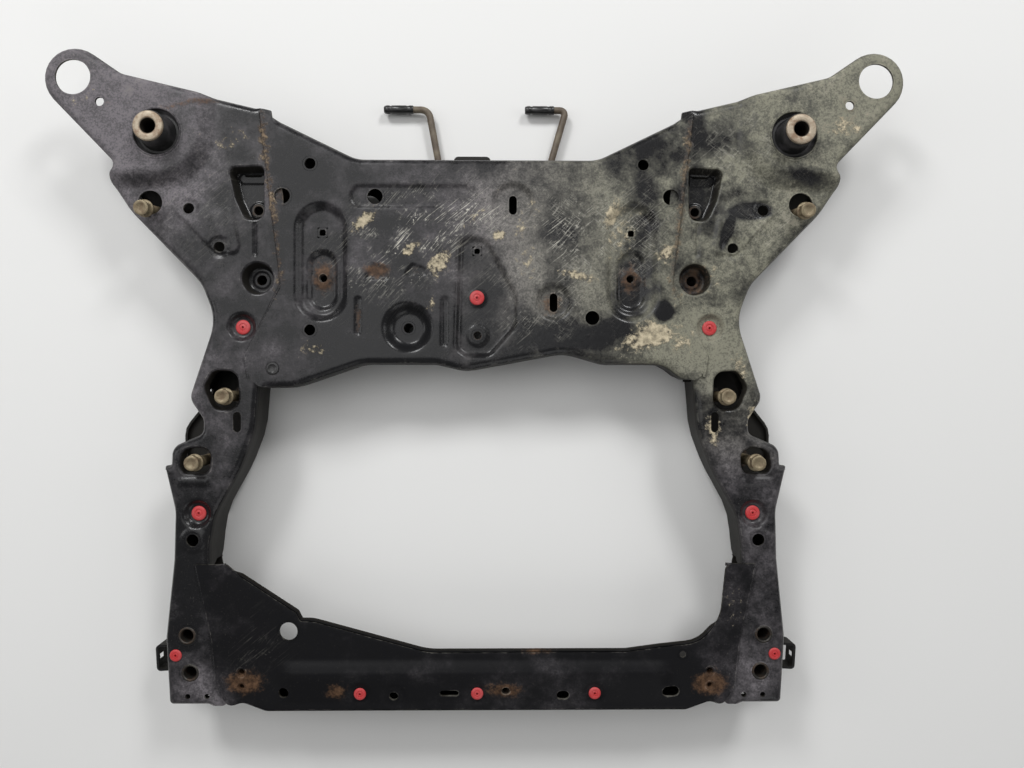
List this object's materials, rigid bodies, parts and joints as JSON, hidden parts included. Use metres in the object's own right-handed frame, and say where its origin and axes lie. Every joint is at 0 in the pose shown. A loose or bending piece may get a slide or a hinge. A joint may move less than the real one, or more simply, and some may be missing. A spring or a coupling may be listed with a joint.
{
  "type": "subframe",
  "caption": "Front suspension subframe of a car: pressed and welded black sheet-steel box frame round an engine window, with bushed body mounts, arm pockets and ears.",
  "frame": {"origin": "middle of the box around the part, on the floor that the upper ends of its body mounts lie on", "axes": "+X to the right-hand side as seen from below, +Y towards the rear of the car, +Z out of the underside, which faces up here"},
  "size_m": [1.0876, 0.838, 0.121],
  "materials": {
    "coated_panel": "satin black coat with dust and scratches",
    "front_panel": "darker satin black coat with rust patches",
    "worn_steel": "rusty, grimy steel",
    "bare_sleeve": "bare steel with a tan bloom of rust",
    "bush_rubber": "dusty black rubber",
    "zinc_bolt": "dull yellow zinc with grime",
    "red_plug": "red moulded plastic",
    "black_rubber": "matt black",
    "pipe": "glossy black hose ends on a dirty pipe"
  },
  "bodies": {
    "root": {"rear_lower_panel": "coated_panel", "rear_upper_panel": "coated_panel", "left_side_lower_panel": "coated_panel", "right_side_lower_panel": "coated_panel", "left_side_upper_panel": "coated_panel", "right_side_upper_panel": "coated_panel", "rear_tab": "coated_panel", "front_lower_panel": "front_panel", "front_upper_panel": "front_panel", "left_front_bracket": "front_panel", "right_front_bracket": "front_panel", "left_bush_can": "worn_steel", "right_bush_can": "worn_steel", "left_front_collars": "worn_steel", "right_front_collars": "worn_steel", "rack_collars": "worn_steel", "torque_rod_collar": "worn_steel", "arm_rear_spacers": "worn_steel", "arm_front_nuts": "worn_steel", "stay_nuts": "worn_steel", "stabiliser_nuts": "worn_steel", "front_weld_nut": "worn_steel", "left_bush_sleeve": "bare_sleeve", "right_bush_sleeve": "bare_sleeve", "left_bush_rubber": "bush_rubber", "right_bush_rubber": "bush_rubber", "arm_rear_bolts": "zinc_bolt", "arm_front_bolts": "zinc_bolt", "undertray_plugs": "red_plug", "blind_plug": "black_rubber", "pipe_clips": "black_rubber", "cooler_pipe": "pipe"}
  },
  "joints": []
}
